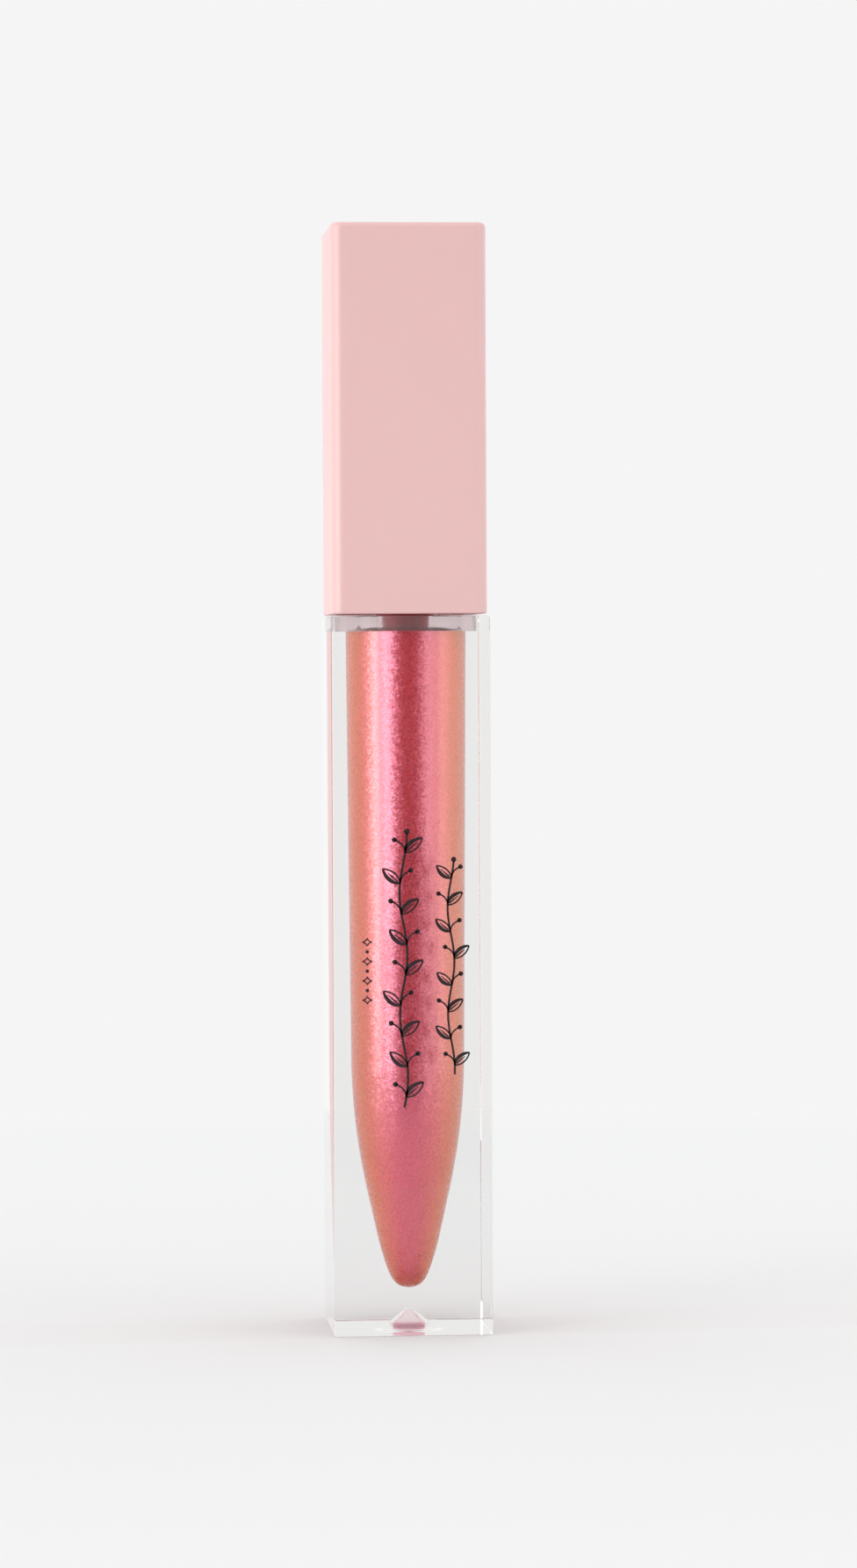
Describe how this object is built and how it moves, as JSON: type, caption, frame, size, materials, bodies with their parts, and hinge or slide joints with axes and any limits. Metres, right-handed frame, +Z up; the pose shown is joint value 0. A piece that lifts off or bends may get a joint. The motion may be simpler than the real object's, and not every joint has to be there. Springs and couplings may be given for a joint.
{
  "type": "lip gloss tube",
  "caption": "Slim square clear tube with a bullet-shaped chamber of pearlescent gloss, a threaded neck and a square screw cap that carries a wand with a slanted flocked tip.",
  "frame": {"origin": "centre of the base, on the surface the tube stands on", "axes": "+Z up the length of the tube towards the cap, -Y out of the decorated front face"},
  "size_m": [0.017, 0.017, 0.1186],
  "materials": {
    "clear_plastic": "clear, polished",
    "wiper_plastic": "translucent, soft",
    "gloss": "pearlescent pink to copper, wet",
    "cap_plastic": "satin, pale pink",
    "inner_plastic": "natural white, satin",
    "liner_foam": "fine closed-cell foam, white",
    "flocking": "short nylon flock, wet with gloss"
  },
  "bodies": {
    "bottle": {"bottle_body": "clear_plastic", "neck_insert": "clear_plastic", "wiper": "wiper_plastic", "gloss": "gloss"},
    "liner": {"seal_liner": "liner_foam"},
    "cap": {"cap_shell": "cap_plastic", "inner_cap": "inner_plastic", "wand_rod": "inner_plastic", "applicator_core": "inner_plastic", "applicator_flock": "flocking"}
  },
  "joints": [
    {"name": "wand_pull", "type": "slide", "parent": "bottle", "child": "liner", "axis": [0, 0, 1], "range_m": [0, 0.085]},
    {"name": "cap_turn", "type": "hinge", "parent": "liner", "child": "cap", "pos_m": [0, 0, 0.0885], "axis": [0, 0, 1], "range_deg": [0, 480]}
  ]
}
